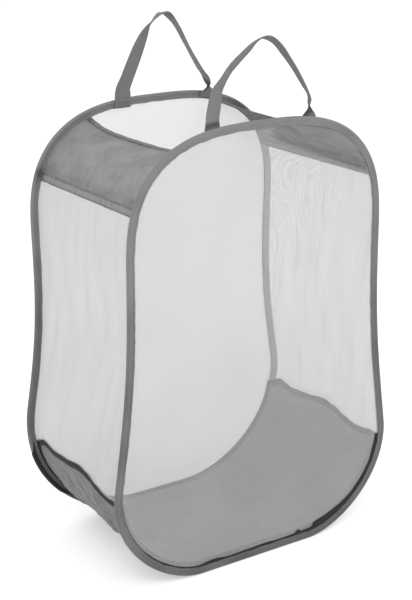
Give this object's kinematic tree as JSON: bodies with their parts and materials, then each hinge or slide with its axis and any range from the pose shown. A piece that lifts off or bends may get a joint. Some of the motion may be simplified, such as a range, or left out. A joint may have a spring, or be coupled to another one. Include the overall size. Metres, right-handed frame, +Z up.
{
  "type": "pop up laundry hamper",
  "caption": "Grey pop up laundry hamper with white mesh sides, a solid grey base and shoulders, black seam tape and two webbing handles; its hoops push together flat.",
  "frame": {"origin": "centre of the footprint on the floor, midway between the two hoops", "axes": "+Z up, +X to the right seen from the front, the front hoop and its handle towards -Y"},
  "size_m": [0.4598, 0.2566, 0.7239],
  "materials": {
    "spring_wire": "drawn",
    "grey_binding": "woven",
    "grey_cloth": "woven",
    "white_mesh": "knitted net",
    "black_tape": "woven",
    "grey_webbing": "woven"
  },
  "bodies": {
    "front_frame": {"front_hoop_wire": "spring_wire", "front_wire_ferrule": "spring_wire", "front_hoop_binding": "grey_binding", "front_mesh_panel": "white_mesh", "base_front_tape": "black_tape", "front_handle_left_end": "grey_webbing", "front_handle_right_end": "grey_webbing", "left_side_mesh": "white_mesh", "left_shoulder_panel": "grey_cloth", "left_seam_tape": "grey_binding", "left_mouth_tape": "grey_binding", "base_left_tape": "black_tape", "right_side_mesh": "white_mesh", "right_shoulder_panel": "grey_cloth", "right_seam_tape": "grey_binding", "right_mouth_tape": "grey_binding", "base_right_tape": "black_tape", "base_panel": "grey_cloth"},
    "back_frame": {"back_hoop_wire": "spring_wire", "back_wire_ferrule": "spring_wire", "back_hoop_binding": "grey_binding", "back_mesh_panel": "white_mesh", "base_back_tape": "black_tape", "back_handle_left_end": "grey_webbing", "back_handle_right_end": "grey_webbing"},
    "front_handle": {"front_handle_loop": "grey_webbing"},
    "back_handle": {"back_handle_loop": "grey_webbing"}
  },
  "joints": [
    {"name": "collapse", "type": "slide", "parent": "front_frame", "child": "back_frame", "axis": [0, 1, 0], "range_m": [-0.2, 0], "stiffness_N_per_m": 20, "deforming": ["left_side_mesh", "left_shoulder_panel", "left_seam_tape", "left_mouth_tape", "base_left_tape", "right_side_mesh", "right_shoulder_panel", "right_seam_tape", "right_mouth_tape", "base_right_tape", "base_panel"]},
    {"name": "front_handle_fold", "type": "hinge", "parent": "front_frame", "child": "front_handle", "pos_m": [0.004, -0.1166, 0.6176], "axis": [1, 0, 0], "range_deg": [0, 100]},
    {"name": "back_handle_fold", "type": "hinge", "parent": "back_frame", "child": "back_handle", "pos_m": [0.014, 0.1166, 0.6176], "axis": [-1, 0, 0], "range_deg": [0, 100]}
  ]
}
